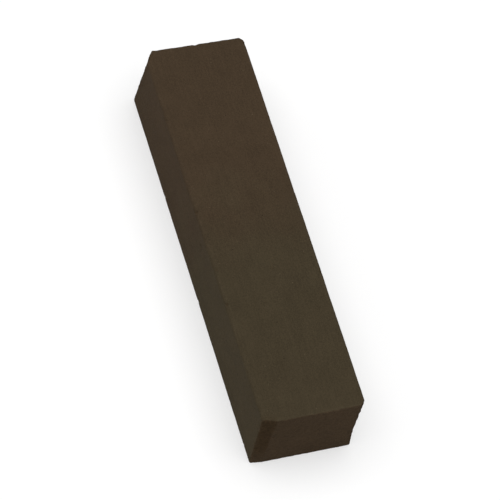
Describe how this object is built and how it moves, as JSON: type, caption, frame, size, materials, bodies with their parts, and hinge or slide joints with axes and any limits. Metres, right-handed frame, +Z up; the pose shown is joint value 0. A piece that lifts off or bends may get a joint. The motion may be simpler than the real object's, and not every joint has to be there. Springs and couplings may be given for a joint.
{
  "type": "charcoal stick",
  "caption": "Short, thick rectangular stick of compressed drawing charcoal, dark brown-black and matte, with hand-worn arrises and rubbed corners.",
  "frame": {"origin": "middle of the broad face that the stick rests on", "axes": "+X along the stick to its front end, +Y across its width, +Z up through its height"},
  "size_m": [0.06, 0.0148, 0.0129],
  "materials": {
    "compressed_charcoal": "matte pressed charcoal, dry and dusty, with a faint sheen where the die and the fingers have smoothed it"
  },
  "bodies": {
    "root": {"charcoal_stick": "compressed_charcoal"}
  },
  "joints": []
}
